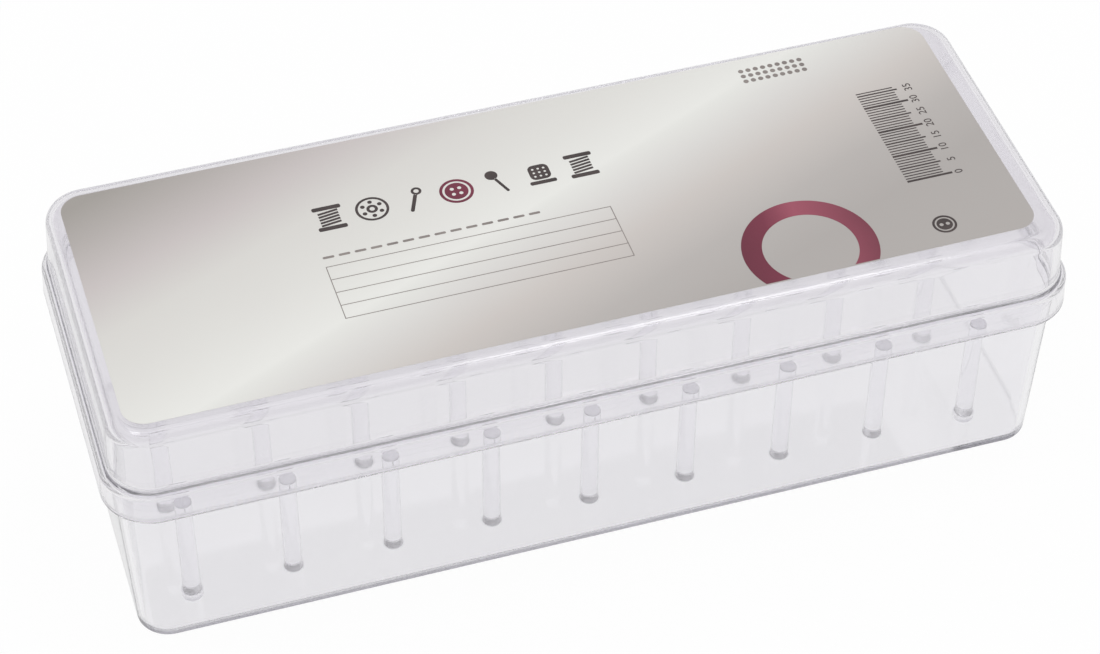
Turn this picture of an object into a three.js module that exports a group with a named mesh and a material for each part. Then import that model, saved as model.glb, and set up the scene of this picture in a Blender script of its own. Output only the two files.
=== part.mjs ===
// A clear bobbin and thread-spool box: a tapered tray with rows of pegs, and a lift-off lid.
// Millimetres, +Z up. The origin is on the table, under the middle of the box.
// +X is the long way of the box and -Y is its front.
import * as THREE from 'three';
import { mergeVertices } from 'three/addons/utils/BufferGeometryUtils.js';

// Driving dimensions of the tray. Its outline is a rounded rectangle, measured at the floor,
// and every wall of the tray and the lid is an offset of that outline at some height.
const trayHalfLength = 123.4;
const trayHalfWidth = 45.2;
const trayCornerRadius = 8.6;
const trayRimHeight = 57.9;
const trayRimFlare = 2.05;
const wallThickness = 1.8;
const floorThickness = 1.8;
const trayEdgeRadius = 1;

// The pegs stand in a grid on the tray's floor.
const pegColumns = 9;
const pegRowNames = ['front', 'middle', 'back'];
const pegPitchX = 27;
const pegPitchY = 31.5;
const pegLength = 35;
const pegRadius = 2.4;
const pegTipRadius = 2.25;
const pegRootFillet = 0.5;
const pegTipBevel = 0.4;

// A small round foot stands under each corner peg.
const footHeight = 1.4;
const footRadius = 2.9;
const footTaper = 0.15;

// The lid. Its skirt hangs outside the tray's rim, and its shoulder rests on that rim.
const boxHeight = 77.4;
const skirtBottom = 50.4;
const skirtOffset = 5;
const skirtTopOffset = 4.55;
const shoulderHeight = 59.6;
const shoulderRadius = 1.2;
const lidFootOffset = 2.65;
const lidHeadOffset = 1.65;
const lidFootFillet = 0.8;
const lidEdgeRadius = 3.8;

// The label lies on the lid's flat top, stuck on a little off centre and a little turned.
const labelHalfLength = 119.3;
const labelHalfWidth = 42;
const labelCornerRadius = 6;
const labelThickness = 0.15;
const labelShiftX = -1.5;
const labelShiftY = 0.9;
const labelTurn = THREE.MathUtils.degToRad(0.4);

const cornerSteps = 8;
const bendSteps = 3;
const pegSides = 16;

const clearPlastic = { color: 0xe6e6ee, roughness: 0.06, metalness: 0, transparent: true, opacity: 0.35 };
const silverFoil = { color: 0xd2cec9, roughness: 0.38, metalness: 0.3 };

const floorUnderside = footHeight;
const floorTop = floorUnderside + floorThickness;

// The outline at an offset and a height: the points of its four rounded corners, in a loop.
function outlineRing(offset, height) {
  const radius = trayCornerRadius + offset;
  const centreX = trayHalfLength - trayCornerRadius;
  const centreY = trayHalfWidth - trayCornerRadius;
  const corners = [[1, 1], [-1, 1], [-1, -1], [1, -1]];
  return corners.flatMap(([sideX, sideY], quarter) => {
    const start = quarter * Math.PI / 2;
    const arc = new THREE.EllipseCurve(
      sideX * centreX, sideY * centreY, radius, radius, start, start + Math.PI / 2);
    return arc.getPoints(cornerSteps).map((point) => new THREE.Vector3(point.x, point.y, height));
  });
}

// Sweeps a section round the outline. The section is a list of [offset, height] points, and
// the flat faces that it starts and ends on are closed in.
function sweepSection(section) {
  const rings = section.map(([offset, height]) => outlineRing(offset, height));
  const count = rings[0].length;
  const positions = [];
  const addTriangle = (a, b, c) => positions.push(...a.toArray(), ...b.toArray(), ...c.toArray());
  for (let level = 0; level + 1 < rings.length; level += 1) {
    for (let index = 0; index < count; index += 1) {
      const next = (index + 1) % count;
      addTriangle(rings[level][index], rings[level][next], rings[level + 1][next]);
      addTriangle(rings[level][index], rings[level + 1][next], rings[level + 1][index]);
    }
  }
  const closeFace = (ring, turnedOver) => {
    const middle = new THREE.Vector3(0, 0, ring[0].z);
    ring.forEach((point, index) => {
      const next = ring[(index + 1) % count];
      if (turnedOver) addTriangle(middle, next, point);
      else addTriangle(middle, point, next);
    });
  };
  closeFace(rings[0], true);
  closeFace(rings[rings.length - 1], false);
  const geometry = new THREE.BufferGeometry();
  geometry.setAttribute('position', new THREE.Float32BufferAttribute(positions, 3));
  const closed = mergeVertices(geometry, 1e-4);
  closed.computeVertexNormals();
  return closed;
}

// A round bend in a section, about a centre at an offset and a height. Angles are in degrees.
function bend(offset, height, radius, fromAngle, toAngle) {
  const points = [];
  for (let step = 0; step <= bendSteps; step += 1) {
    const angle = THREE.MathUtils.degToRad(fromAngle + (toAngle - fromAngle) * step / bendSteps);
    points.push([offset + radius * Math.cos(angle), height + radius * Math.sin(angle)]);
  }
  return points;
}

function named(name, geometry, finish) {
  const mesh = new THREE.Mesh(geometry, new THREE.MeshStandardMaterial(finish));
  mesh.name = name;
  return mesh;
}

// The tray: up the outside, over the rim, and down the inside to the floor.
function makeTray() {
  const rimBevel = 0.25;
  const outside = bend(-trayEdgeRadius, floorUnderside + trayEdgeRadius, trayEdgeRadius, -90, 0);
  const inside = bend(-wallThickness - trayEdgeRadius, floorTop + trayEdgeRadius, trayEdgeRadius, 0, -90);
  const rimInside = trayRimFlare - wallThickness;
  return named('base_tray', sweepSection([
    ...outside,
    [trayRimFlare, trayRimHeight - rimBevel],
    [trayRimFlare - rimBevel, trayRimHeight],
    [rimInside + rimBevel, trayRimHeight],
    [rimInside, trayRimHeight - rimBevel],
    ...inside,
  ]), clearPlastic);
}

// A peg is a tapered pin with a flare at its root and a bevelled tip.
function makePeg(name, x, y) {
  const profile = [
    [0, 0],
    [pegRadius + pegRootFillet, 0],
    [pegRadius, pegRootFillet],
    [pegTipRadius, pegLength - pegTipBevel],
    [pegTipRadius - pegTipBevel, pegLength],
    [0, pegLength],
  ].map(([radius, height]) => new THREE.Vector2(radius, height));
  const geometry = new THREE.LatheGeometry(profile, pegSides);
  geometry.rotateX(Math.PI / 2);
  const peg = named(name, geometry, clearPlastic);
  peg.position.set(x, y, floorTop);
  return peg;
}

function makePegs() {
  const pegs = new THREE.Group();
  pegRowNames.forEach((rowName, row) => {
    for (let column = 0; column < pegColumns; column += 1) {
      const x = (column - (pegColumns - 1) / 2) * pegPitchX;
      const y = (row - (pegRowNames.length - 1) / 2) * pegPitchY;
      pegs.add(makePeg(`peg_${rowName}_${column + 1}`, x, y));
    }
  });
  return pegs;
}

function makeFeet() {
  const feet = new THREE.Group();
  const reachX = pegPitchX * (pegColumns - 1) / 2;
  const reachY = pegPitchY * (pegRowNames.length - 1) / 2;
  for (const [endName, endY] of [['front', -reachY], ['back', reachY]]) {
    for (const [sideName, sideX] of [['left', -reachX], ['right', reachX]]) {
      const geometry = new THREE.CylinderGeometry(footRadius, footRadius - footTaper, footHeight, pegSides);
      geometry.rotateX(Math.PI / 2);
      const foot = named(`foot_${endName}_${sideName}`, geometry, clearPlastic);
      foot.position.set(sideX, endY, footHeight / 2);
      feet.add(foot);
    }
  }
  return feet;
}

// The lid: out and down the inside, round the skirt's edge, and up the outside to the top.
function makeLid() {
  const insideTop = boxHeight - wallThickness;
  const insideRadius = lidEdgeRadius - wallThickness;
  const insideHead = lidHeadOffset - wallThickness;
  const insideFoot = lidFootOffset - wallThickness;
  const skirtInside = skirtOffset - wallThickness;
  const skirtInsideTop = skirtTopOffset - wallThickness;
  return named('lid', sweepSection([
    ...bend(insideHead - insideRadius, insideTop - insideRadius, insideRadius, 90, 0),
    [insideFoot, trayRimHeight],
    [skirtInsideTop, trayRimHeight],
    [skirtInside, skirtBottom],
    [skirtOffset, skirtBottom],
    ...bend(skirtTopOffset - shoulderRadius, shoulderHeight - shoulderRadius, shoulderRadius, 0, 90),
    ...bend(lidFootOffset + lidFootFillet, shoulderHeight + lidFootFillet, lidFootFillet, -90, -180),
    ...bend(lidHeadOffset - lidEdgeRadius, boxHeight - lidEdgeRadius, lidEdgeRadius, 0, 90),
  ]), clearPlastic);
}

function makeLabel() {
  const shape = new THREE.Shape();
  const reachX = labelHalfLength - labelCornerRadius;
  const reachY = labelHalfWidth - labelCornerRadius;
  shape.absarc(reachX, reachY, labelCornerRadius, 0, Math.PI / 2);
  shape.absarc(-reachX, reachY, labelCornerRadius, Math.PI / 2, Math.PI);
  shape.absarc(-reachX, -reachY, labelCornerRadius, Math.PI, Math.PI * 1.5);
  shape.absarc(reachX, -reachY, labelCornerRadius, Math.PI * 1.5, Math.PI * 2);
  const geometry = new THREE.ExtrudeGeometry(shape, {
    depth: labelThickness, bevelEnabled: false, curveSegments: cornerSteps,
  });
  const label = named('label', geometry, silverFoil);
  label.position.set(labelShiftX, labelShiftY, boxHeight);
  label.rotation.z = labelTurn;
  return label;
}

const bobbinBox = new THREE.Group();
bobbinBox.add(makeTray(), makePegs(), makeFeet(), makeLid(), makeLabel());

export default bobbinBox;
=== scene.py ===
import math

import bmesh
import bpy
from mathutils import Matrix, Vector


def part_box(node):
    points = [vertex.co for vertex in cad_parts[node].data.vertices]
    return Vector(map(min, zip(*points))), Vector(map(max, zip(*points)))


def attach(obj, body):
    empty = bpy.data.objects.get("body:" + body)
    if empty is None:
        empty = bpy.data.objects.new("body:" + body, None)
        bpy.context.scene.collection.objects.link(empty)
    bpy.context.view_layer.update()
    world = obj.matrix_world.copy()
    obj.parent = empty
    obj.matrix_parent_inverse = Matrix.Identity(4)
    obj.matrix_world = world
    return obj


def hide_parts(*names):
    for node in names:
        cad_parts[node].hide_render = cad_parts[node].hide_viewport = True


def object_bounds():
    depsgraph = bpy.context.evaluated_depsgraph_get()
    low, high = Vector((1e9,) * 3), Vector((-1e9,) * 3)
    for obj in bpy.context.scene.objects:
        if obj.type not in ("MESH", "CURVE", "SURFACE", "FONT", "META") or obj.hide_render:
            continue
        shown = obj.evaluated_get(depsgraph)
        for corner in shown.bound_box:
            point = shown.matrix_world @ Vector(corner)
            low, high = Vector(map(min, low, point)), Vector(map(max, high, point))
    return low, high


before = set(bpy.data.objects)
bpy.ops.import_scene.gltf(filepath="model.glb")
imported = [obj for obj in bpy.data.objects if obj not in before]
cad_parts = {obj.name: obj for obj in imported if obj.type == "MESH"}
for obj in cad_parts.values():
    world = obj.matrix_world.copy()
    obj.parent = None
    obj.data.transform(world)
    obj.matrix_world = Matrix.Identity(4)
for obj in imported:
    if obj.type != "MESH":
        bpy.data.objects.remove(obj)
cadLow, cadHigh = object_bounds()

mm = 0.001
scene = bpy.context.scene
print("frame loaded:", len(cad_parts), "nodes")


cameraValues = {
    "azimuth": -17.763,  # degrees round the box, 0 looks along +Y
    "elevation": 45.241,
    "roll": 0.544,
    "distance": 810.75,  # mm from the point it looks at
    "lookOffset": (-0.91, 0.0, -2.5),  # mm from the middle of the box
    "lens": 99.69,
}


def makeCamera(values):
    azimuth = math.radians(values["azimuth"])
    elevation = math.radians(values["elevation"])
    roll = math.radians(values["roll"])
    back = Vector((
        math.sin(azimuth) * math.cos(elevation),
        -math.cos(azimuth) * math.cos(elevation),
        math.sin(elevation),
    ))
    level = Vector((0, 0, 1)).cross(back).normalized()
    upright = back.cross(level)
    right = math.cos(roll) * level + math.sin(roll) * upright
    up = math.cos(roll) * upright - math.sin(roll) * level
    target = (cadLow + cadHigh) / 2 + Vector(values["lookOffset"]) * mm
    place = target + back * values["distance"] * mm
    data = bpy.data.cameras.new("camera")
    data.sensor_fit = "HORIZONTAL"
    data.sensor_width = 36
    data.lens = values["lens"]
    data.clip_start = 0.01
    camera = bpy.data.objects.new("camera", data)
    scene.collection.objects.link(camera)
    turn = Matrix((right, up, back)).transposed().to_4x4()
    camera.matrix_world = Matrix.Translation(place) @ turn
    scene.camera = camera


makeCamera(cameraValues)

lampValues = {
    "leftSoftbox": {"at": (-0.6, 0.1, 1.8), "size": (0.4, 0.4), "power": 2.1},
    "rightSoftbox": {"at": (0.5, 0.1, 1.85), "size": (0.4, 0.4), "power": 2.1},
}


def makeLamps(values):
    aim = (cadLow + cadHigh) / 2
    for name, lamp in values.items():
        data = bpy.data.lights.new(name, "AREA")
        data.shape = "RECTANGLE"
        data.size, data.size_y = lamp["size"]
        data.energy = lamp["power"]
        place = Vector(lamp["at"])
        light = bpy.data.objects.new(name, data)
        scene.collection.objects.link(light)
        facing = (place - aim).to_track_quat("Z", "Y")
        light.matrix_world = Matrix.Translation(place) @ facing.to_matrix().to_4x4()


makeLamps(lampValues)


def nodeTree(owner):
    owner.use_nodes = True
    tree = owner.node_tree
    tree.nodes.clear()
    return tree


def addNode(tree, kind, **settings):
    node = tree.nodes.new(kind)
    for name, value in settings.items():
        setattr(node, name, value)
    return node


def joinNodes(tree, source, target):
    tree.links.new(source, target)


def mathNode(tree, operation, first, second):
    node = addNode(tree, "ShaderNodeMath", operation=operation)
    for socket, value in zip(node.inputs, (first, second)):
        if isinstance(value, (int, float)):
            socket.default_value = value
        else:
            joinNodes(tree, value, socket)
    return node.outputs["Value"]


def rangeNode(tree, value, low, high, fromLow=0.0, fromHigh=1.0):
    node = addNode(tree, "ShaderNodeMapRange")
    node.inputs["From Min"].default_value = fromLow
    node.inputs["From Max"].default_value = fromHigh
    node.inputs["To Min"].default_value = low
    node.inputs["To Max"].default_value = high
    joinNodes(tree, value, node.inputs["Value"])
    return node.outputs["Result"]


def colourRamp(tree, value, stops):
    node = addNode(tree, "ShaderNodeValToRGB")
    ramp = node.color_ramp
    while len(ramp.elements) > 1:
        ramp.elements.remove(ramp.elements[-1])
    for index, (position, colour) in enumerate(stops):
        stop = ramp.elements[0] if index == 0 else ramp.elements.new(position)
        stop.position = position
        stop.color = (*colour, 1)
    joinNodes(tree, value, node.inputs["Fac"])
    return node.outputs["Color"]


skyValues = {
    "zones": [(0.0, 1.0), (0.2, 0.9), (0.45, 0.7), (0.74, 0.7), (0.92, 1.22)],  # height, light
    "background": 1.0,  # what the camera sees straight behind the box
}


def makeSky(values):
    sky = bpy.data.worlds.new("softSky")
    scene.world = sky
    tree = nodeTree(sky)
    output = addNode(tree, "ShaderNodeOutputWorld")
    place = addNode(tree, "ShaderNodeTexCoord")
    split = addNode(tree, "ShaderNodeSeparateXYZ")
    joinNodes(tree, place.outputs["Generated"], split.inputs["Vector"])
    zones = [(height, (light, light, light)) for height, light in values["zones"]]
    shade = colourRamp(tree, split.outputs["Z"], zones)
    path = addNode(tree, "ShaderNodeLightPath")
    mixer = addNode(tree, "ShaderNodeMix", data_type="FLOAT")
    joinNodes(tree, path.outputs["Is Camera Ray"], mixer.inputs["Factor"])
    joinNodes(tree, shade, mixer.inputs["A"])
    mixer.inputs["B"].default_value = values["background"]
    light = addNode(tree, "ShaderNodeBackground")
    joinNodes(tree, mixer.outputs["Result"], light.inputs["Strength"])
    light.inputs["Color"].default_value = (1, 1, 1, 1)
    joinNodes(tree, light.outputs["Background"], output.inputs["Surface"])


makeSky(skyValues)

floorValues = {
    "reach": 3.0,  # metres from the box to the floor's edge
    "colour": (0.86, 0.86, 0.87),
    "mottle": 0.97,  # how dark its faint clouds are beside the colour
    "cloudScale": 3,
    "whiteShare": 0.97,  # how much of the floor is shown plain white, the rest keeps the shadow
    "throughPlastic": 0.885,  # how white it is in reflections and through the plastic
}


def makeFloor(values):
    bm = bmesh.new()
    bmesh.ops.create_circle(bm, cap_ends=True, radius=values["reach"], segments=96)
    data = bpy.data.meshes.new("floor")
    bm.to_mesh(data)
    bm.free()
    floor = bpy.data.objects.new("floor", data)
    scene.collection.objects.link(floor)
    paint = bpy.data.materials.new("paleFloor")
    tree = nodeTree(paint)
    output = addNode(tree, "ShaderNodeOutputMaterial")
    place = addNode(tree, "ShaderNodeTexCoord")
    noise = addNode(tree, "ShaderNodeTexNoise")
    noise.inputs["Scale"].default_value = values["cloudScale"]
    joinNodes(tree, place.outputs["Object"], noise.inputs["Vector"])
    tone = addNode(tree, "ShaderNodeMix", data_type="RGBA")
    tone.inputs["A"].default_value = (*values["colour"], 1)
    cloudy = [part * values["mottle"] for part in values["colour"]]
    tone.inputs["B"].default_value = (*cloudy, 1)
    joinNodes(tree, noise.outputs["Fac"], tone.inputs["Factor"])
    matt = addNode(tree, "ShaderNodeBsdfDiffuse")
    joinNodes(tree, tone.outputs["Result"], matt.inputs["Color"])
    path = addNode(tree, "ShaderNodeLightPath")
    white = addNode(tree, "ShaderNodeEmission")
    level = rangeNode(tree, path.outputs["Is Camera Ray"], values["throughPlastic"], 1)
    joinNodes(tree, level, white.inputs["Strength"])
    seen = mathNode(tree, "MAXIMUM", path.outputs["Is Camera Ray"], path.outputs["Is Glossy Ray"])
    seen = mathNode(tree, "MAXIMUM", seen, path.outputs["Is Transmission Ray"])
    share = mathNode(tree, "MULTIPLY", seen, values["whiteShare"])
    mixer = addNode(tree, "ShaderNodeMixShader")
    joinNodes(tree, share, mixer.inputs["Fac"])
    joinNodes(tree, matt.outputs["BSDF"], mixer.inputs[1])
    joinNodes(tree, white.outputs["Emission"], mixer.inputs[2])
    joinNodes(tree, mixer.outputs["Shader"], output.inputs["Surface"])
    data.materials.append(paint)


makeFloor(floorValues)
print("camera, lamps and floor are set")


# where a point is on the object, stretched and turned as asked
def objectPlace(tree, scale=(1, 1, 1), turn=0.0):
    place = addNode(tree, "ShaderNodeTexCoord")
    mapping = addNode(tree, "ShaderNodeMapping")
    mapping.inputs["Scale"].default_value = scale
    mapping.inputs["Rotation"].default_value = (0, 0, turn)
    joinNodes(tree, place.outputs["Object"], mapping.inputs["Vector"])
    return mapping.outputs["Vector"]


def noiseNode(tree, where, scale, detail=3, roughness=0.55):
    noise = addNode(tree, "ShaderNodeTexNoise")
    noise.inputs["Scale"].default_value = scale
    noise.inputs["Detail"].default_value = detail
    noise.inputs["Roughness"].default_value = roughness
    joinNodes(tree, where, noise.inputs["Vector"])
    return noise.outputs["Fac"]


# a screen colour, 0 to 255, as the linear light that nodes hold
def linear(colour):
    parts = [part / 255 for part in colour]
    return tuple(p / 12.92 if p <= 0.04045 else ((p + 0.055) / 1.055) ** 2.4 for p in parts)


def bumpNode(tree, height, strength, distance):
    node = addNode(tree, "ShaderNodeBump")
    node.inputs["Strength"].default_value = strength
    node.inputs["Distance"].default_value = distance
    joinNodes(tree, height, node.inputs["Height"])
    return node.outputs["Normal"]


plasticValues = {
    "trayTints": [(0.984, 0.98, 0.992), (0.962, 0.957, 0.976)],  # clearest and cloudiest
    "lidTints": [(0.95, 0.942, 0.96), (0.93, 0.921, 0.941)],
    "ior": 1.59,
    "cloudScale": 22,  # features per metre of the tint's clouds
    "gloss": (0.02, 0.055),  # roughness of the polished faces, cleanest and most handled
    "pegGloss": (0.05, 0.09),
    "smearScale": 45,
    "scuff": 0.03,  # roughness added by the fine scuffs
    "scuffScale": (30, 500, 300),
    "scuffTurn": 0.5,  # radians, so that the scuffs run askew
    "body": (0.80, 0.797, 0.835),  # what a thick edge of the plastic lets through
    "depth": 3.0,  # how fast it takes the rest away, per metre
    "ripple": 0.00001,  # metres, the slow waves that moulding leaves
    "rippleScale": 28,
    # banded places, painted shade where what gets through is below 1 and wear where roughness is
    # added: what gets through, roughness added, share of both on the short ends
    # painted shade: the tray's upright faces along its bottom edge are darkened, and less so on the
    # short ends
    "standingEdgePaintedShade": ((0.5, 0.49, 0.53), 0, 0.3),
    "rimContactPaintedShade": ((0.84, 0.83, 0.86), 0, 1),  # painted shade where the lid rests on the rim
    # painted shade: the peg tips are darkened to grey discs
    "pegTipsPaintedShade": ((0.93, 0.92, 0.945), 0, 1),
    "pegFeet": ((1, 1, 1), 0.2, 1),
    # painted shade: the lid's top and rounded top edge are darkened to tone down a highlight there,
    # with a little roughness added
    "lidTop": ((0.945, 0.935, 0.953), 0.05, 1),
    "skirtEdge": ((1, 0.995, 1), 0.24, 1),
}
trayLow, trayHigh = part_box("base_tray")
pegBottom, pegTop = [corner.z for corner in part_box("peg_front_1")]
lidBottom, lidTop = [corner.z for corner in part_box("lid")]


anyLean = (1.2, 1.0)  # a band that takes every face, however it leans


# 1 between two heights, on faces whose lean is past leanFrom and on to leanTo, else 0
def bandMask(tree, height, lean, low, high, leanFrom, leanTo):
    soft = 0.1 * mm
    above = rangeNode(tree, height, 0, 1, low - soft, low + soft)
    below = rangeNode(tree, height, 1, 0, high - soft, high + soft)
    leaning = rangeNode(tree, lean, 0, 1, leanFrom, leanTo)
    return mathNode(tree, "MULTIPLY", mathNode(tree, "MULTIPLY", above, below), leaning)


# shadeAndWear lists each banded place, painted shade or worn, with its lowest and highest point and
# the leans for bandMask
def makeClearPlastic(name, tints, gloss, shadeAndWear, values):
    paint = bpy.data.materials.new(name)
    tree = nodeTree(paint)
    output = addNode(tree, "ShaderNodeOutputMaterial")
    shader = addNode(tree, "ShaderNodeBsdfPrincipled")
    shader.inputs["Transmission Weight"].default_value = 1
    shader.inputs["IOR"].default_value = values["ior"]
    where = objectPlace(tree)
    cloud = noiseNode(tree, where, values["cloudScale"])
    tint = addNode(tree, "ShaderNodeMix", data_type="RGBA")
    tint.inputs["A"].default_value = (*tints[0], 1)
    tint.inputs["B"].default_value = (*tints[1], 1)
    joinNodes(tree, cloud, tint.inputs["Factor"])
    height = addNode(tree, "ShaderNodeSeparateXYZ")
    joinNodes(tree, where, height.inputs["Vector"])
    geometry = addNode(tree, "ShaderNodeNewGeometry")
    facing = addNode(tree, "ShaderNodeSeparateXYZ")
    joinNodes(tree, geometry.outputs["Normal"], facing.inputs["Vector"])
    lean = mathNode(tree, "ABSOLUTE", facing.outputs["Z"], 0)  # 1 on level faces, 0 on upright
    alongside = mathNode(tree, "ABSOLUTE", facing.outputs["Y"], 0)  # 1 on the long sides
    smears = noiseNode(tree, where, values["smearScale"], 5)
    handled = rangeNode(tree, smears, *gloss, 0.35, 0.75)
    streaked = objectPlace(tree, values["scuffScale"], values["scuffTurn"])
    scratches = noiseNode(tree, streaked, 1, 2, 0.4)
    scuffs = rangeNode(tree, scratches, 0, values["scuff"], 0.72, 0.86)
    rough = mathNode(tree, "ADD", handled, scuffs)
    colour = tint.outputs["Result"]
    # a band whose through is below 1 multiplies painted shade into the tint
    for (through, haze, ends), *band in shadeAndWear:
        mask = bandMask(tree, height.outputs["Z"], lean, *band)
        share = rangeNode(tree, alongside, ends, 1, 0, 0.7)
        mask = mathNode(tree, "MULTIPLY", mask, share)
        layer = addNode(tree, "ShaderNodeMix", data_type="RGBA", blend_type="MULTIPLY")
        layer.inputs["B"].default_value = (*through, 1)
        joinNodes(tree, mask, layer.inputs["Factor"])
        joinNodes(tree, colour, layer.inputs["A"])
        colour = layer.outputs["Result"]
        rough = mathNode(tree, "ADD", rough, mathNode(tree, "MULTIPLY", mask, haze))
    joinNodes(tree, colour, shader.inputs["Base Color"])
    joinNodes(tree, rough, shader.inputs["Roughness"])
    waves = noiseNode(tree, where, values["rippleScale"], 1)
    joinNodes(tree, bumpNode(tree, waves, 1, values["ripple"]), shader.inputs["Normal"])
    depth = addNode(tree, "ShaderNodeVolumeAbsorption")
    depth.inputs["Color"].default_value = (*values["body"], 1)
    depth.inputs["Density"].default_value = values["depth"]
    joinNodes(tree, shader.outputs["BSDF"], output.inputs["Surface"])
    joinNodes(tree, depth.outputs["Volume"], output.inputs["Volume"])
    return paint


# painted shade on the tray's rim and the lid's ledge, where the two parts meet
rimPaintedShadeBand = (plasticValues["rimContactPaintedShade"], trayHigh.z - 0.35 * mm, trayHigh.z + 0.35 * mm, 0.5, 0.8)
trayPlastic = makeClearPlastic(
    "trayPlastic", plasticValues["trayTints"], plasticValues["gloss"],
    # the second band is painted shade darkening the tray's standing edge
    [rimPaintedShadeBand, (plasticValues["standingEdgePaintedShade"], trayLow.z - mm, trayLow.z + 2 * mm, 0.9, 0.7)],
    plasticValues,
)
pegPlastic = makeClearPlastic(
    "pegPlastic", plasticValues["trayTints"], plasticValues["pegGloss"],
    [
        # painted shade darkening the peg tips
        (plasticValues["pegTipsPaintedShade"], pegTop - 0.3 * mm, pegTop + 0.3 * mm, 0.6, 0.9),
        (plasticValues["pegFeet"], pegBottom - mm, pegBottom + mm, 0.9, 1.0),
    ],
    plasticValues,
)
lidPlastic = makeClearPlastic(
    "lidPlastic", plasticValues["lidTints"], plasticValues["gloss"],
    [
        rimPaintedShadeBand,
        # painted shade on the lid's top and rounded top edge, with a little roughness
        (plasticValues["lidTop"], lidTop - 3 * mm, lidTop + mm, 0.15, 0.6),
        (plasticValues["skirtEdge"], lidBottom - mm, lidBottom + 1.1 * mm, *anyLean),
    ],
    plasticValues,
)

labelPaintValues = {
    "slant": 2.18,  # how far the shading bands run along the label for each step up it
    "reach": 200.0,  # mm, the bands run from minus this to plus this
    "bands": [  # place along the label in mm, then the printed silver there
        (-200, (163, 158, 153)),
        (-172, (180, 174, 171)),
        (-135, (202, 195, 194)),
        (-97, (218, 216, 212)),
        (-55, (225, 224, 220)),
        (-14, (234, 234, 230)),
        (-9, (230, 230, 226)),
        (12, (220, 218, 215)),
        (45, (205, 199, 195)),
        (85, (185, 180, 177)),
        (125, (176, 171, 168)),
        (200, (178, 173, 170)),
    ],
    "blush": 0.22,  # how far a faint rose cloud tints the silver
    "rose": (0.955, 0.93, 0.945),
    "roseScale": 26,
    "metal": 0.12,
    "gloss": (0.38, 0.48),
    "grainScale": 900,
    "grainHeight": 0.00001,  # metres
}


def makeLabelPaint(values):
    paint = bpy.data.materials.new("labelFilm")
    tree = nodeTree(paint)
    output = addNode(tree, "ShaderNodeOutputMaterial")
    shader = addNode(tree, "ShaderNodeBsdfPrincipled")
    where = objectPlace(tree)
    split = addNode(tree, "ShaderNodeSeparateXYZ")
    joinNodes(tree, where, split.inputs["Vector"])
    reach = values["reach"] * mm
    along = mathNode(
        tree, "SUBTRACT", split.outputs["X"],
        mathNode(tree, "MULTIPLY", split.outputs["Y"], values["slant"]),
    )
    band = rangeNode(tree, along, 0, 1, -reach, reach)
    stops = [((at / values["reach"] + 1) / 2, linear(colour)) for at, colour in values["bands"]]
    silver = colourRamp(tree, band, stops)
    grain = noiseNode(tree, where, values["grainScale"], 2)
    cloud = noiseNode(tree, where, values["roseScale"], 3)
    blush = addNode(tree, "ShaderNodeMix", data_type="RGBA", blend_type="MULTIPLY")
    blush.inputs["B"].default_value = (*values["rose"], 1)
    amount = rangeNode(tree, cloud, 0, values["blush"], 0.45, 0.8)
    joinNodes(tree, amount, blush.inputs["Factor"])
    joinNodes(tree, silver, blush.inputs["A"])
    joinNodes(tree, blush.outputs["Result"], shader.inputs["Base Color"])
    joinNodes(tree, rangeNode(tree, grain, *values["gloss"]), shader.inputs["Roughness"])
    shader.inputs["Metallic"].default_value = values["metal"]
    bumps = bumpNode(tree, grain, 0.25, values["grainHeight"])
    joinNodes(tree, bumps, shader.inputs["Normal"])
    joinNodes(tree, shader.outputs["BSDF"], output.inputs["Surface"])
    return paint


# a printed ink, whose colours run over a slow cloud so that it isn't one flat tone
def makeInk(name, values):
    paint = bpy.data.materials.new(name)
    tree = nodeTree(paint)
    output = addNode(tree, "ShaderNodeOutputMaterial")
    shader = addNode(tree, "ShaderNodeBsdfPrincipled")
    where = objectPlace(tree)
    cloud = noiseNode(tree, where, values["scale"], 2)
    stops = [(at, linear(tone)) for at, tone in zip((0.3, 0.7), values["tones"])]
    joinNodes(tree, colourRamp(tree, cloud, stops), shader.inputs["Base Color"])
    grain = noiseNode(tree, where, inkGrain, 2)
    joinNodes(tree, rangeNode(tree, grain, *values["gloss"]), shader.inputs["Roughness"])
    joinNodes(tree, bumpNode(tree, grain, 0.2, 0.000006), shader.inputs["Normal"])
    joinNodes(tree, shader.outputs["BSDF"], output.inputs["Surface"])
    return paint


labelPaint = makeLabelPaint(labelPaintValues)
inkGrain = 1500  # features per metre of the fine grain in all the inks
inkValues = {  # the tones of each, how fine its cloud is and its roughness
    "labelBacking": {"tones": [(242, 241, 241), (250, 249, 249)], "scale": 30, "gloss": (0.5, 0.65)},
    "darkInk": {"tones": [(52, 43, 43), (72, 61, 60)], "scale": 160, "gloss": (0.45, 0.6)},
    "greyInk": {"tones": [(128, 120, 117), (146, 138, 134)], "scale": 160, "gloss": (0.45, 0.6)},
    "redInk": {"tones": [(104, 26, 52), (132, 48, 74)], "scale": 60, "gloss": (0.35, 0.5)},
}
labelBack = makeInk("labelBacking", inkValues["labelBacking"])
darkInk = makeInk("darkInk", inkValues["darkInk"])
greyInk = makeInk("greyInk", inkValues["greyInk"])
redInk = makeInk("redInk", inkValues["redInk"])

ringInkValues = {
    "middle": 60.0,  # mm along the label, where the red is palest
    "reach": 24.0,
    "tones": [(0.0, (94, 18, 44)), (0.3, (116, 34, 60)), (0.5, (156, 74, 94)), (1.0, (90, 16, 42))],
}


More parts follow.
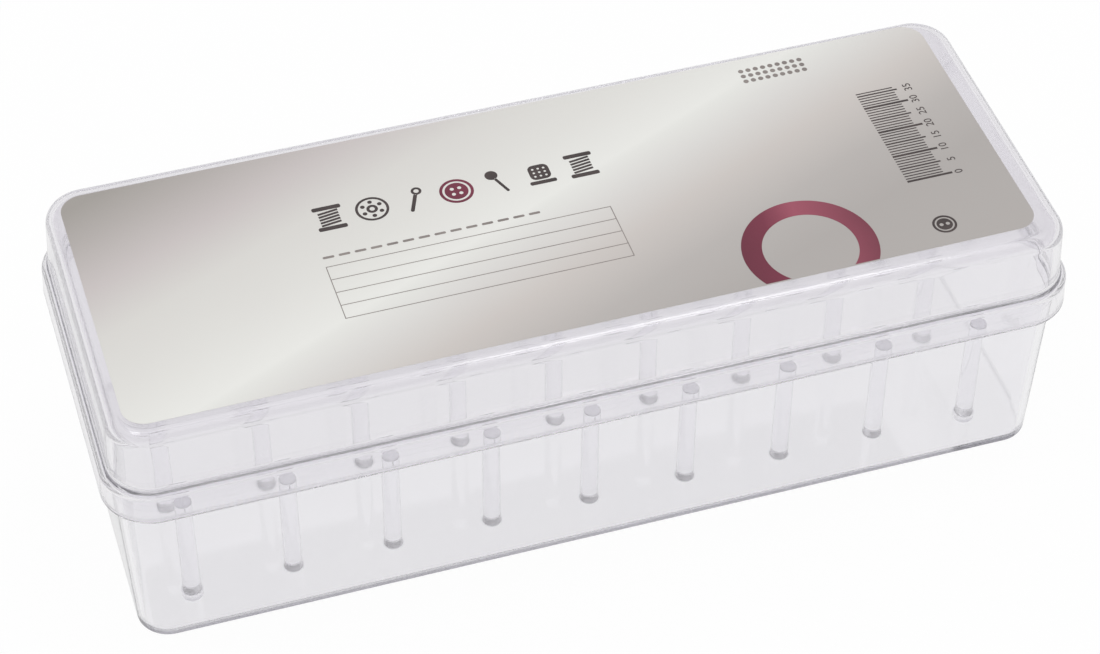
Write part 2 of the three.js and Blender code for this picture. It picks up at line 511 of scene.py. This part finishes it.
# the same red with a pale sheen printed across it
def makeRingInk(values):
    paint = bpy.data.materials.new("ringInk")
    tree = nodeTree(paint)
    output = addNode(tree, "ShaderNodeOutputMaterial")
    shader = addNode(tree, "ShaderNodeBsdfPrincipled")
    where = objectPlace(tree)
    split = addNode(tree, "ShaderNodeSeparateXYZ")
    joinNodes(tree, where, split.inputs["Vector"])
    low = (values["middle"] - values["reach"]) * mm
    high = (values["middle"] + values["reach"]) * mm
    band = rangeNode(tree, split.outputs["X"], 0, 1, low, high)
    wobble = rangeNode(tree, noiseNode(tree, where, 90), -0.06, 0.06)
    stops = [(at, linear(tone)) for at, tone in values["tones"]]
    tone = colourRamp(tree, mathNode(tree, "ADD", band, wobble), stops)
    joinNodes(tree, tone, shader.inputs["Base Color"])
    grain = noiseNode(tree, where, inkGrain, 2)
    joinNodes(tree, rangeNode(tree, grain, 0.35, 0.5), shader.inputs["Roughness"])
    joinNodes(tree, shader.outputs["BSDF"], output.inputs["Surface"])
    return paint


ringInk = makeRingInk(ringInkValues)
print("finishes are made")


# makes the mesh a piece that rides on a body and stands for CAD nodes
def pieceFrom(bm, name, body, paints, nodes=()):
    data = bpy.data.meshes.new(name)
    bm.to_mesh(data)
    bm.free()
    for paint in paints:
        data.materials.append(paint)
    piece = bpy.data.objects.new(name, data)
    scene.collection.objects.link(piece)
    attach(piece, body)
    if nodes:
        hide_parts(*nodes)
    return piece


def wireFrom(bm, points):
    verts = [bm.verts.new(point) for point in points]
    edges = [bm.edges.new(pair) for pair in zip(verts, verts[1:])]
    return verts + edges


# distance of a vertex from the core rectangle that ends at that corner, seen from above
def spreadFrom(corner):
    def spread(vert):
        dx = max(abs(vert.co.x) - corner[0], 0)
        dy = max(abs(vert.co.y) - corner[1], 0)
        return math.hypot(dx, dy)
    return spread


# takes a section of [spread, height] points round a rounded rectangle and closes its ends
def sweepSection(section, corner, steps):
    bm = bmesh.new()
    coreX, coreY = corner
    geometry = wireFrom(bm, [(coreX + spread, coreY, height) for spread, height in section])
    runs = [(-2 * coreX, 0), (0, -2 * coreY), (2 * coreX, 0), (0, 2 * coreY)]
    centre = Vector((coreX, coreY, 0))
    for runX, runY in runs:
        turned = bmesh.ops.spin(
            bm, geom=geometry, cent=centre, axis=(0, 0, 1), dvec=(0, 0, 0),
            angle=math.pi / 2, steps=steps, use_merge=False, use_duplicate=False,
        )["geom_last"]
        edges = [part for part in turned if isinstance(part, bmesh.types.BMEdge)]
        made = bmesh.ops.extrude_edge_only(bm, edges=edges)["geom"]
        verts = [part for part in made if isinstance(part, bmesh.types.BMVert)]
        bmesh.ops.translate(bm, verts=verts, vec=(runX, runY, 0))
        geometry = verts + [part for part in made if isinstance(part, bmesh.types.BMEdge)]
        centre += Vector((runX, runY, 0))
    bmesh.ops.remove_doubles(bm, verts=bm.verts, dist=1e-6)
    ends = [edge for edge in bm.edges if edge.is_boundary]
    bmesh.ops.holes_fill(bm, edges=ends, sides=0)
    bmesh.ops.recalc_face_normals(bm, faces=bm.faces)
    return bm


# rounds the ring of edges at one [spread, height] point of a swept or turned shape
def roundRing(bm, spread, at, radius, segments):
    def onRing(vert):
        return abs(spread(vert) - at[0]) < 1e-6 and abs(vert.co.z - at[1]) < 1e-6
    ring = [edge for edge in bm.edges if all(onRing(vert) for vert in edge.verts)]
    bmesh.ops.bevel(
        bm, geom=ring, offset=radius, offset_type="OFFSET", segments=segments,
        profile=0.5, affect="EDGES", material=-1, clamp_overlap=False,
    )


def smoothShade(bm):
    for face in bm.faces:
        face.smooth = True


# smooth shading whose flats stay flat
def keepFlatsFlat(piece):
    weigh = piece.modifiers.new("weighted normals", "WEIGHTED_NORMAL")
    weigh.mode = "FACE_AREA"
    weigh.weight = 50


# spins a [radius, height] profile that starts and ends on the axis
def turnProfile(profile, steps):
    bm = bmesh.new()
    geometry = wireFrom(bm, [(radius, 0, height) for radius, height in profile])
    bmesh.ops.spin(
        bm, geom=geometry, cent=(0, 0, 0), axis=(0, 0, 1), dvec=(0, 0, 0),
        angle=2 * math.pi, steps=steps, use_merge=True, use_duplicate=False,
    )
    bmesh.ops.remove_doubles(bm, verts=bm.verts, dist=1e-7)
    bmesh.ops.recalc_face_normals(bm, faces=bm.faces)
    return bm


def fromAxis(vert):
    return math.hypot(vert.co.x, vert.co.y)


trayValues = {
    "cornerRadius": 8.6,  # mm, in plan, where the walls meet the floor
    "flare": 2.05,  # how far the rim leans out over the floor
    "wall": 1.8,
    "floor": 1.8,
    "edgeRadius": 1.0,  # round the bottom, outside
    "insideRadius": 0.5,
    "rimRadius": 0.35,
    "cornerSteps": 20,
}
trayCorner = tuple(
    reach - (trayValues["flare"] + trayValues["cornerRadius"]) * mm for reach in trayHigh.xy
)


def makeTray(values):
    foot = values["cornerRadius"] * mm
    rim = foot + values["flare"] * mm
    wall = values["wall"] * mm
    inside = trayLow.z + values["floor"] * mm
    bm = sweepSection(
        [(foot, trayLow.z), (rim, trayHigh.z), (rim - wall, trayHigh.z), (foot - wall, inside)],
        trayCorner, values["cornerSteps"],
    )
    spread = spreadFrom(trayCorner)
    edge = values["edgeRadius"] * mm
    lip = values["rimRadius"] * mm
    roundRing(bm, spread, (foot, trayLow.z), edge, 6)
    roundRing(bm, spread, (rim, trayHigh.z), lip, 4)
    roundRing(bm, spread, (rim - wall, trayHigh.z), lip, 4)
    roundRing(bm, spread, (foot - wall, inside), values["insideRadius"] * mm, 6)
    smoothShade(bm)
    piece = pieceFrom(bm, "clear_tray", "tray", [trayPlastic], ["base_tray"])
    keepFlatsFlat(piece)


makeTray(trayValues)
print("tray is made")

pegValues = {
    "radius": 2.4,  # mm, at the root
    "tipRadius": 2.25,
    "flare": 0.37,  # the small fillet that the peg stands in
    "tipRounding": 0.35,
    "lip": 0.06,  # upright edge of the fillet
    "seat": 0.02,  # gap under the peg
    "steps": 48,
}


def makePeg(node, values):
    low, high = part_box(node)
    middle = (low + high) / 2
    base = low.z + values["seat"] * mm
    root = values["radius"] * mm
    tip = values["tipRadius"] * mm
    flare = values["flare"] * mm
    lip = values["lip"] * mm
    bm = turnProfile(
        [
            (0, base), (root + flare, base), (root + flare, base + lip), (root, base + lip),
            (tip, high.z), (0, high.z),
        ],
        values["steps"],
    )
    roundRing(bm, fromAxis, (root, base + lip), flare * 0.9, 5)
    roundRing(bm, fromAxis, (tip, high.z), values["tipRounding"] * mm, 5)
    bmesh.ops.translate(bm, verts=bm.verts, vec=(middle.x, middle.y, 0))
    smoothShade(bm)
    piece = pieceFrom(bm, "clear_" + node, "tray", [pegPlastic], [node])
    keepFlatsFlat(piece)


for node in sorted(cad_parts):
    if node.startswith("peg_"):
        makePeg(node, pegValues)

footValues = {"taper": 0.15, "seat": 0.02, "rounding": 0.25, "steps": 48}


def makeFoot(node, values):
    low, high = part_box(node)
    middle = (low + high) / 2
    radius = (high.x - low.x) / 2
    top = high.z - values["seat"] * mm
    sole = radius - values["taper"] * mm
    bm = turnProfile([(0, low.z), (sole, low.z), (radius, top), (0, top)], values["steps"])
    roundRing(bm, fromAxis, (sole, low.z), values["rounding"] * mm, 4)
    bmesh.ops.translate(bm, verts=bm.verts, vec=(middle.x, middle.y, 0))
    smoothShade(bm)
    piece = pieceFrom(bm, "clear_" + node, "tray", [trayPlastic], [node])
    keepFlatsFlat(piece)


for node in sorted(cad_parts):
    if node.startswith("foot_"):
        makeFoot(node, footValues)
print("pegs and feet are made")


lidValues = {
    "skirt": 5.0,  # mm outside the tray's corner radius, at the skirt's lower edge
    "skirtTop": 4.55,
    "shoulder": 9.2,  # height of the shoulder above the skirt's lower edge
    "shoulderSlope": 0.85,  # how far the shoulder rises over and falls under that height
    "shoulderRadius": 0.9,
    "wallFoot": 2.65,  # where the lid's wall stands on the shoulder
    "wallHead": 1.65,
    "footFillet": 0.75,
    "skirtRadius": 0.6,
    "insideFillet": 0.4,  # inside, where the wall meets the ledge
    "ledgeRadius": 0.5,  # inside, where the ledge meets the skirt
    "edgeRadius": 3.8,
    "wall": 1.8,
    "seat": 0.03,  # gap over the tray's rim
    "cornerSteps": 24,
}


def makeLid(values):
    low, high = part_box("lid")
    corner = trayValues["cornerRadius"] * mm
    wall = values["wall"] * mm

    def out(name):
        return corner + values[name] * mm

    shoulder = low.z + values["shoulder"] * mm
    slope = values["shoulderSlope"] * mm
    ledge = trayHigh.z + values["seat"] * mm
    ceiling = high.z - wall
    outer = [
        (out("skirt"), low.z),
        (out("skirtTop"), shoulder - slope),
        (out("wallFoot"), shoulder + slope),
        (out("wallHead"), high.z),
    ]
    inner = [
        (out("wallHead") - wall, ceiling),
        (out("wallFoot") - wall, ledge),
        (out("skirtTop") - wall, ledge),
        (out("skirt") - wall, low.z),
    ]
    bm = sweepSection(inner + outer, trayCorner, values["cornerSteps"])
    spread = spreadFrom(trayCorner)
    roundings = [
        (inner[0], (values["edgeRadius"] - values["wall"]) * mm, 8),
        (inner[1], values["insideFillet"] * mm, 4),
        (inner[2], values["ledgeRadius"] * mm, 4),
        (inner[3], values["skirtRadius"] * mm, 5),
        (outer[0], values["skirtRadius"] * mm, 5),
        (outer[1], values["shoulderRadius"] * mm, 6),
        (outer[2], values["footFillet"] * mm, 5),
        (outer[3], values["edgeRadius"] * mm, 10),
    ]
    for at, radius, segments in roundings:
        roundRing(bm, spread, at, radius, segments)
    smoothShade(bm)
    piece = pieceFrom(bm, "clear_lid", "lid", [lidPlastic], ["lid"])
    keepFlatsFlat(piece)


makeLid(lidValues)
print("lid is made")


labelValues = {
    "length": 238.6,  # mm
    "width": 84.0,
    "cornerRadius": 6.0,
    "turn": 0.4,  # degrees, stuck on a little askew
    "bottom": 0.02,  # heights over the lid's top
    "top": 0.11,
    "inkBottom": 0.114,
    "inkTop": 0.14,
}
labelLow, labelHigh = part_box("label")
labelPlace = Matrix.Translation((*((labelLow + labelHigh) / 2).xy, lidTop)) @ Matrix.Rotation(
    math.radians(labelValues["turn"]), 4, "Z"
)


def makeLabel(values):
    radius = values["cornerRadius"] * mm
    corner = (values["length"] / 2 * mm - radius, values["width"] / 2 * mm - radius)
    bottom, top = values["bottom"] * mm, values["top"] * mm
    bm = sweepSection([(radius, bottom), (radius, top)], corner, 10)
    for face in bm.faces:
        face.material_index = 0 if face.normal.z > 0.5 else 1
    bmesh.ops.transform(bm, matrix=labelPlace, verts=bm.verts)
    pieceFrom(bm, "silver_label", "lid", [labelPaint, labelBack], ["label"])


makeLabel(labelValues)


# a place on the label in mm from its middle, and a turn in degrees
def placed(x, y, turn=0.0):
    return Matrix.Translation((x * mm, y * mm, 0)) @ Matrix.Rotation(math.radians(turn), 4, "Z")


def discMark(bm, x, y, radius, steps=32):
    bmesh.ops.create_circle(
        bm, cap_ends=False, radius=radius * mm, segments=steps, matrix=placed(x, y)
    )


# a bar that runs along the label before its turn
def barMark(bm, x, y, length, width, turn=0.0, rounding=0.0):
    place = placed(x, y, turn) @ Matrix.Diagonal((length * mm, width * mm, 1, 1))
    made = bmesh.ops.create_grid(bm, x_segments=1, y_segments=1, size=0.5, matrix=place)
    if rounding:
        bmesh.ops.bevel(
            bm, geom=made["verts"], offset=rounding * mm, offset_type="OFFSET", segments=4,
            profile=0.5, affect="VERTICES", material=-1, clamp_overlap=True,
        )


# leaves only the outlines of the faces
def keepRimsOnly(bm):
    inner = [edge for edge in bm.edges if not edge.is_boundary]
    bmesh.ops.delete(bm, geom=inner, context="EDGES_FACES")


# fills the drawn outlines, gives them the ink's thickness and lays them on the label
def finishPrint(bm, name, paint):
    bmesh.ops.delete(bm, geom=list(bm.faces), context="FACES_ONLY")
    bmesh.ops.triangle_fill(bm, use_beauty=True, use_dissolve=False, edges=bm.edges)
    made = bmesh.ops.extrude_face_region(bm, geom=list(bm.faces))["geom"]
    verts = [part for part in made if isinstance(part, bmesh.types.BMVert)]
    bottom, top = labelValues["inkBottom"], labelValues["inkTop"]
    bmesh.ops.translate(bm, verts=bm.verts, vec=(0, 0, bottom * mm))
    bmesh.ops.translate(bm, verts=verts, vec=(0, 0, (top - bottom) * mm))
    bmesh.ops.recalc_face_normals(bm, faces=bm.faces)
    bmesh.ops.transform(bm, matrix=labelPlace, verts=bm.verts)
    return pieceFrom(bm, name, "lid", [paint])


iconValues = {"left": -54.0, "middle": 14.6, "pitch": 11.3}


# a row of sewing pictures, in mm: spool, bobbin, needle, button, pin, thimble and spool
def makeIcons(values):
    bm = bmesh.new()
    y = values["middle"]
    places = [values["left"] + index * values["pitch"] for index in range(7)]
    spool, bobbin, needle, button, pin, thimble, reel = places
    for x in (spool, reel):
        for side in (-1, 1):
            barMark(bm, x, y + side * 3.8, 7.6, 1.4, 0, 0.5)
        for level in (-2.2, -1.1, 0, 1.1, 2.2):
            barMark(bm, x, y + level, 5.4, 0.7, 8)
    discMark(bm, bobbin, y, 4.4, 40)
    discMark(bm, bobbin, y, 3.7, 40)
    discMark(bm, bobbin, y, 1.5)
    discMark(bm, bobbin, y, 0.7)
    for step in range(6):
        angle = math.radians(60 * step + 30)
        discMark(bm, bobbin + 2.6 * math.cos(angle), y + 2.6 * math.sin(angle), 0.6, 16)
    barMark(bm, needle - 0.45, y - 1.1, 6.6, 1.0, 68, 0.45)
    discMark(bm, needle + 1.3, y + 3.1, 1.4, 24)
    discMark(bm, needle + 1.3, y + 3.1, 0.7, 24)
    barMark(bm, pin + 0.6, y - 1.2, 6.0, 0.8, 112, 0.35)
    discMark(bm, pin - 1.1, y + 3.0, 1.7, 24)
    barMark(bm, thimble, y - 3.3, 7.2, 1.3, 0, 0.5)
    barMark(bm, thimble, y + 0.6, 5.6, 5.6, 0, 1.6)
    for row in range(3):
        for column in range(3):
            discMark(bm, thimble + (column - 1) * 1.5, y - 0.9 + row * 1.4, 0.35, 12)
    finishPrint(bm, "print_sewing_icons", darkInk)

    bm = bmesh.new()
    discMark(bm, button, y, 4.5, 48)
    discMark(bm, button, y, 3.7, 48)
    discMark(bm, button, y, 3.1, 48)
    for sideX in (-1, 1):
        for sideY in (-1, 1):
            discMark(bm, button + sideX, y + sideY, 0.55, 20)
    finishPrint(bm, "print_red_button", redInk)


makeIcons(iconValues)

stitchValues = {"left": -59.5, "right": 2.0, "level": 0.6, "stitch": 3.0, "gap": 1.2, "thread": 0.8}


# a running stitch above the ruled rows
def makeStitches(values):
    bm = bmesh.new()
    step = values["stitch"] + values["gap"]
    count = int((values["right"] - values["left"]) / step)
    for index in range(count):
        x = values["left"] + values["stitch"] / 2 + index * step
        barMark(bm, x, values["level"], values["stitch"], values["thread"], 0, 0.35)
    finishPrint(bm, "print_stitch_line", greyInk)


makeStitches(stitchValues)

panelValues = {
    "left": -59.5,
    "right": 16.0,
    "top": -2.8,
    "rowHeight": 4.75,
    "rows": 4,
    "line": 0.22,
}


# ruled rows to write on
def makePanel(values):
    bm = bmesh.new()
    left, right, line = values["left"], values["right"], values["line"]
    middle = (left + right) / 2
    bottom = values["top"] - values["rows"] * values["rowHeight"]
    for side in (left, right):
        barMark(bm, side, (values["top"] + bottom) / 2, line, values["top"] - bottom + line)
    for row in range(values["rows"] + 1):
        level = values["top"] - row * values["rowHeight"]
        barMark(bm, middle, level, right - left - 1.2 * line, line)
    finishPrint(bm, "print_ruled_panel", greyInk)


makePanel(panelValues)

gridValues = {
    "left": 66.5,
    "bottom": 33.0,
    "pitch": 2.1,
    "columns": 9,
    "rows": 3,
    "radius": 0.72,
}


# a plan of the pegs, one dot for each
def makePegDiagram(values):
    bm = bmesh.new()
    for row in range(values["rows"]):
        for column in range(values["columns"]):
            x = values["left"] + column * values["pitch"]
            y = values["bottom"] + row * values["pitch"]
            discMark(bm, x, y, values["radius"], 20)
    finishPrint(bm, "print_peg_diagram", greyInk)


makePegDiagram(gridValues)

rulerValues = {
    "left": 92.6,
    "low": -17.0,
    "length": 36,
    "ticks": {1: (10.4, 0.36), 5: (11.4, 0.5), 10: (12.6, 0.7)},  # long and wide, per step
    "digitSize": 3.1,
    "digitGap": 1.9,
}


# millimetre ticks with a plain number at every fifth
def makeRuler(values):
    bm = bmesh.new()
    for step in range(values["length"] + 1):
        rank = max(every for every in values["ticks"] if step % every == 0)
        long, wide = values["ticks"][rank]
        barMark(bm, values["left"] + long / 2, values["low"] + step, long, wide)
    finishPrint(bm, "print_ruler_ticks", darkInk)

    bm = bmesh.new()
    for number in range(0, values["length"], 5):
        words = bpy.data.curves.new("digit", "FONT")
        words.body = str(number)
        words.size = values["digitSize"] * mm
        words.align_x = "CENTER"
        words.align_y = "CENTER"
        words.resolution_u = 4
        carrier = bpy.data.objects.new("digit", words)
        scene.collection.objects.link(carrier)
        bpy.context.view_layer.update()
        graph = bpy.context.evaluated_depsgraph_get()
        shape = bpy.data.meshes.new_from_object(carrier.evaluated_get(graph))
        bpy.data.objects.remove(carrier)
        column = values["left"] + values["ticks"][10][0] + values["digitGap"]
        shape.transform(placed(column, values["low"] + number, 90))
        bm.from_mesh(shape)
        bpy.data.meshes.remove(shape)
        bpy.data.curves.remove(words)
    bmesh.ops.remove_doubles(bm, verts=bm.verts, dist=1e-7)
    keepRimsOnly(bm)
    finishPrint(bm, "print_ruler_numbers", darkInk)


makeRuler(rulerValues)

markValues = {"at": (95.6, -34.6), "radius": 3.2}


# a small button in the label's corner
def makeButtonMark(values):
    bm = bmesh.new()
    x, y = values["at"]
    radius = values["radius"]
    discMark(bm, x, y, radius, 40)
    discMark(bm, x, y, radius * 0.8, 40)
    discMark(bm, x, y, radius * 0.66, 40)
    for side in (-1, 1):
        discMark(bm, x + side * radius * 0.27, y, radius * 0.17, 20)
    finishPrint(bm, "print_button_mark", darkInk)


makeButtonMark(markValues)

ringValues = {"centre": (59.6, -32.7), "outer": 17.7, "inner": 12.4, "cut": -41.6}


# a large plain ring, cropped by the label's front edge
def makeRing(values):
    bm = bmesh.new()
    discMark(bm, *values["centre"], values["outer"], 96)
    discMark(bm, *values["centre"], values["inner"], 96)
    bmesh.ops.bridge_loops(bm, edges=bm.edges)
    bmesh.ops.bisect_plane(
        bm, geom=list(bm.verts) + list(bm.edges) + list(bm.faces), dist=1e-7,
        plane_co=(0, values["cut"] * mm, 0), plane_no=(0, -1, 0), clear_outer=True,
    )
    keepRimsOnly(bm)
    finishPrint(bm, "print_red_ring", ringInk)


makeRing(ringValues)
print("label and print are made")


scene.view_settings.view_transform = "Standard"
bounces = 160  # light is trapped in the thin floor and edges for many bounces
scene.cycles.max_bounces = bounces
scene.cycles.transmission_bounces = bounces
scene.cycles.glossy_bounces = bounces

print("box of the CAD model:", list(cadLow), list(cadHigh))
